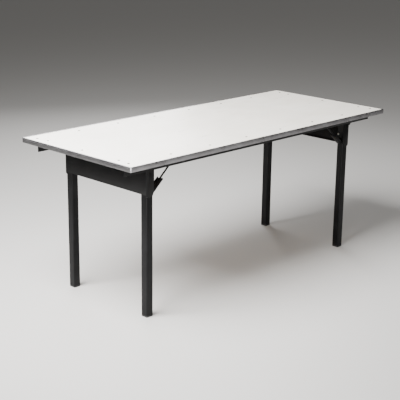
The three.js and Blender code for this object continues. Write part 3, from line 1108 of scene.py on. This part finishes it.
@dataclass
class LegFrame:
    """Two square legs, their plugs and the folded apron at one end."""

    end: str
    tube_wall: float = 1.6 * MM
    tube_radius: float = 3.8 * MM
    cut_ease: float = 0.4 * MM
    corner_steps: int = 8
    apron_bend_mm: float = 3.6
    at_face: float = 0.1 * MM
    bolt: Head = Head(HeadKind.BUTTON, 5.0, 3.2)
    bolt_height: float = 636 * MM
    bolt_off_middle: float = 13 * MM

    @property
    def body(self) -> str:
        """The body that this frame is."""
        return f"leg_frame_{self.end}"

    def build(self, frame: dict, rows: FastenerRows) -> None:
        """Draws the frame's pieces.

        Args:
            rows: What sets the fasteners out.
        """
        self.apron().draw(frame)
        for side in SIDES:
            self.leg(side)
            foot = f"foot_{self.end}_{side}"
            RefinedNode(foot, NYLON, self.body, "black_plastic", 0.9).draw(frame)
        name = f"leg_bolts_{self.end}"
        rows.bake(name, self.bolt, self.bolt_rows(), ZINC, self.body)

    def apron(self) -> RefinedNode:
        """Folded sheet, with wide bends where it turns round the legs.

        Returns:
            The apron, ready to draw.
        """
        node = f"apron_{self.end}"
        low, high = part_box(node)
        outer = low[0] if self.end == "left" else high[0]

        def wraps(edge: Edge) -> bool:
            """Whether an edge is an outside bend round a leg."""
            outside = all(abs(v.co.x - outer) < self.at_face for v in edge.verts)
            return is_fold(edge) and outside and runs_along(edge, 2)

        bend = Bend(wraps, self.apron_bend_mm, 5)
        return RefinedNode(node, COAT, self.body, "black_steel", 0.5, [bend])

    def outline(self, side_length: float, radius: float) -> list[Pair]:
        """A square with round corners, about its middle.

        Args:
            side_length: Length of its side.
            radius: Radius of its corners.

        Returns:
            Its points, anticlockwise.
        """
        half = side_length / 2 - radius
        points = []
        for quarter, (x, y) in enumerate(((1, 1), (-1, 1), (-1, -1), (1, -1))):
            for step in range(self.corner_steps + 1):
                angle = (quarter + step / self.corner_steps) * math.pi / 2
                out_x, out_y = radius * math.cos(angle), radius * math.sin(angle)
                points.append((x * half + out_x, y * half + out_y))
        return points

    def leg(self, side: str) -> None:
        """Draws a cold-drawn square tube, open at both ends, with its cut edges broken.

        Args:
            side: Which leg of the frame.
        """
        node = f"leg_{self.end}_{side}"
        low, high = (Vector(corner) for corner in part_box(node))
        middle = (low + high) / 2
        width = high.x - low.x
        ease, wall, radius = self.cut_ease, self.tube_wall, self.tube_radius
        inner_width, inner_radius = width - 2 * wall, radius - wall
        sections = [
            (width - 2 * ease, radius - ease, low.z),
            (width, radius, low.z + ease),
            (width, radius, high.z - ease),
            (width - 2 * ease, radius - ease, high.z),
            (inner_width, inner_radius, high.z),
            (inner_width, inner_radius, low.z),
        ]
        rings = [
            [(middle.x + x, middle.y + y, level) for x, y in self.outline(side_length, corner)]
            for side_length, corner, level in sections
        ]
        mesh = to_mesh(node, skinned(rings, closed=True))
        piece = new_piece(f"{node}_tube", mesh, COAT, self.body)
        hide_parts(node)

    def bolt_rows(self) -> list[Row]:
        """One bolt end on the inner face of each leg.

        Returns:
            A row of one for each leg.
        """
        rows = []
        for side, sign in SIDES.items():
            low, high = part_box(f"leg_{self.end}_{side}")
            inward = -ENDS[self.end]
            face = high[0] if inward > 0 else low[0]
            across = (low[1] + high[1]) / 2 - sign * self.bolt_off_middle
            start = Vector((face, across, self.bolt_height))
            rows.append(Row(1, start, Vector((0, 0, 0)), Vector((inward, 0, 0))))
        return rows


@dataclass
class Hinge:
    """Hanger, shouldered pin and nut at one corner."""

    end: str
    side: str

    def build(self, frame: dict) -> None:
        """Draws the hinge's pieces.
        """
        for part, finish, slot, break_mm in (
            ("hanger", COAT, "black_steel", 0.5),
            ("pin", COAT, "black_steel", 0.4),
            ("nut", ZINC, "zinc_steel", 0.6),
        ):
            node = f"hinge_{part}_{self.end}_{self.side}"
            RefinedNode(node, finish, "top", slot, break_mm).draw(frame)


@dataclass
class Stay:
    """Bracket, channel, rod and roller beside one leg, and the track that the roller runs in."""

    end: str
    side: str
    rod_radius: float = 4.2 * MM
    rod_start: float = 12 * MM
    rod_ease: float = 0.5 * MM
    rod_sides: int = 32
    boss_radius: float = 5.0 * MM
    boss_length: float = 12 * MM
    rivet: Head = Head(HeadKind.RIVET, 3.2, 1.4)
    rivets_along: Pair = (26 * MM, 54 * MM)
    web_offset: float = 6.5 * MM
    web_slack: float = 0.2 * MM
    channel_bend_mm: float = 2.2

    ACROSS: ClassVar[Vector] = Vector((0, 1, 0))

    def __post_init__(self) -> None:
        """Finds the stay's line, from its pivot to its roller, and which way its web faces."""
        self.tail = f"{self.end}_{self.side}"
        self.body = f"stay_{self.tail}"
        self.pivot, self.roller = (
            sum((Vector(corner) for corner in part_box(f"stay_{part}_{self.tail}")), Vector()) / 2
            for part in ("pivot_pin", "roller")
        )
        self.along = (self.roller - self.pivot).normalized()
        webward = self.along.cross(self.ACROSS).normalized()
        self.webward = -webward if webward.z > 0 else webward

    def build(self, frame: dict, rows: FastenerRows) -> None:
        """Draws the stay's pieces.

        Args:
            rows: What sets the fasteners out.
        """
        leg_body = f"leg_frame_{self.end}"
        for part, finish, body, slot, break_mm in (
            ("bracket", COAT, leg_body, "black_steel", 0.35),
            ("pivot_pin", COAT, leg_body, "black_steel", 0.3),
            ("roller", NYLON, self.body, "black_plastic", 0.35),
            ("track", ZINC, "top", "zinc_steel", 0.35),
        ):
            RefinedNode(f"stay_{part}_{self.tail}", finish, body, slot, break_mm).draw(frame)
        self.channel().draw(frame)
        self.rod()
        name = f"stay_rivets_{self.tail}"
        rows.bake(name, self.rivet, [self.rivet_row()], COAT, self.body)

    def channel(self) -> RefinedNode:
        """Pressed channel with wide outside bends.

        Returns:
            The channel, ready to draw.
        """
        least = self.web_offset - self.web_slack

        def bends(edge: Edge) -> bool:
            """Whether an edge is an outside bend between web and flange."""
            line = (edge.verts[1].co - edge.verts[0].co).normalized()
            at_web = all((v.co - self.pivot).dot(self.webward) > least for v in edge.verts)
            return is_fold(edge) and abs(line.dot(self.along)) > ALONG and at_web

        node = f"stay_channel_{self.tail}"
        bend = Bend(bends, self.channel_bend_mm)
        return RefinedNode(node, COAT, self.body, "black_steel", 0.4, [bend])

    def rod(self) -> None:
        """Draws the round bar and its cross boss for the roller's pin."""
        length = (self.roller - self.pivot).length
        radius, wide, ease = self.rod_radius, self.boss_radius, self.rod_ease
        half = self.boss_length / 2
        bar = turned(
            [(radius - ease, 0), (radius, ease), (radius, length - self.rod_start)], self.rod_sides
        )
        bar.transform(aim(self.pivot + self.along * self.rod_start, self.along))
        boss = turned(
            [(wide - ease, -half), (wide, ease - half), (wide, half - ease), (wide - ease, half)],
            self.rod_sides,
        )
        boss.transform(aim(self.roller, self.ACROSS))
        mesh = to_mesh("stay_rod", merged([bar, boss]))
        piece = new_piece(f"stay_rod_{self.tail}_bar", mesh, COAT, self.body)
        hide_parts(f"stay_rod_{self.tail}")

    def rivet_row(self) -> Row:
        """Rivets that hold the rod in the channel, on the back of the web.

        Returns:
            A row of two.
        """
        first, last = self.rivets_along
        start = self.pivot + self.along * first + self.webward * self.web_offset
        return Row(2, start, self.along * (last - first), self.webward)


@dataclass(frozen=True)
class Lamp:
    """A square soft light: its place, its side in metres, its power and how widely it throws."""

    name: str
    place: Point
    side: float
    watts: float
    spread_deg: float


@dataclass
class Studio:
    """Pale floor, soft lights and the camera."""

    lamps: tuple[Lamp, ...] = (
        Lamp("overhead", (-1.95, 0.0, 2.75), 2.0, 262.0, 130.0),
        Lamp("back", (2.2, 4.0, 2.3), 2.4, 44.0, 100.0),
        Lamp("low_front", (-2.35, -2.0, 0.32), 0.5, 25.0, 110.0),
    )
    lamps_face: Point = (0.0, 0.0, 0.6)
    air_colour: str = "DEDDDB"
    air_strength: float = 0.25
    floor_colour: str = "C4C2BF"
    floor_roughness: float = 0.7
    floor_reach: float = 40.0
    eye: Point = (-3.697, -3.504, 1.863)
    yaw_deg: float = 45.69
    pitch_deg: float = 16.52
    roll_deg: float = -0.71
    lens_mm: float = 92.89
    sensor_mm: float = 36.0
    far_clip: float = 200.0

    def build(self) -> None:
        """Sets up everything around the table."""
        self.camera()
        self.floor()
        self.world()
        for lamp in self.lamps:
            self.hang(lamp)

    def camera(self) -> None:
        """Stands the camera where its three angles and the eye say."""
        angles = (self.yaw_deg, self.pitch_deg, self.roll_deg)
        yaw, pitch, roll = (math.radians(angle) for angle in angles)
        level = Vector((math.sin(yaw), math.cos(yaw), 0.0))
        ahead = level * math.cos(pitch) - Vector((0.0, 0.0, math.sin(pitch)))
        right = Vector((math.cos(yaw), -math.sin(yaw), 0.0))
        down = ahead.cross(right)
        rolled_right = right * math.cos(roll) + down * math.sin(roll)
        rolled_down = down * math.cos(roll) - right * math.sin(roll)
        matrix = Matrix((rolled_right, -rolled_down, -ahead)).transposed().to_4x4()
        data = bpy.data.cameras.new("camera")
        data.lens = self.lens_mm
        data.sensor_width = self.sensor_mm
        data.clip_end = self.far_clip
        camera = bpy.data.objects.new("camera", data)
        camera.matrix_world = Matrix.Translation(Vector(self.eye)) @ matrix
        bpy.context.collection.objects.link(camera)
        bpy.context.scene.camera = camera

    def floor(self) -> None:
        """Lays a plain floor."""
        reach = self.floor_reach
        mesh = bpy.data.meshes.new("floor")
        corners = [(-reach, -reach, 0), (reach, -reach, 0), (reach, reach, 0), (-reach, reach, 0)]
        mesh.from_pydata(corners, [], [(0, 1, 2, 3)])
        finish = Finish("plain_floor", self.floor_colour, self.floor_roughness)
        mesh.materials.append(finish.material())
        floor = bpy.data.objects.new("floor", mesh)
        bpy.context.collection.objects.link(floor)
        floor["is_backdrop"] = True

    def world(self) -> None:
        """Adds even light from all round."""
        world = bpy.data.worlds.new("studio")
        world.use_nodes = True
        background = world.node_tree.nodes["Background"]
        background.inputs["Color"].default_value = linear(self.air_colour)
        background.inputs["Strength"].default_value = self.air_strength
        bpy.context.scene.world = world

    def hang(self, lamp: Lamp) -> None:
        """Hangs a lamp so that it faces the table.

        Args:
            lamp: Which lamp.
        """
        data = bpy.data.lights.new(lamp.name, "AREA")
        data.shape = "SQUARE"
        data.size = lamp.side
        data.energy = lamp.watts
        data.spread = math.radians(lamp.spread_deg)
        light = bpy.data.objects.new(lamp.name, data)
        light.visible_camera = False
        place = Vector(lamp.place)
        turn = (Vector(self.lamps_face) - place).to_track_quat("-Z", "Y").to_matrix().to_4x4()
        light.matrix_world = Matrix.Translation(place) @ turn
        bpy.context.collection.objects.link(light)


def main() -> None:
    """Builds the table around the frame."""
    logging.basicConfig(level=logging.INFO, format="%(name)s: %(message)s")
    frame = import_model()
    rows = FastenerRows()
    Studio().build()
    Top().build(frame, rows)
    for end in ENDS:
        LegFrame(end).build(frame, rows)
        for side in SIDES:
            Hinge(end, side).build(frame)
            Stay(end, side).build(frame, rows)
    bpy.context.view_layer.update()


if __name__ == "__main__":
    main()
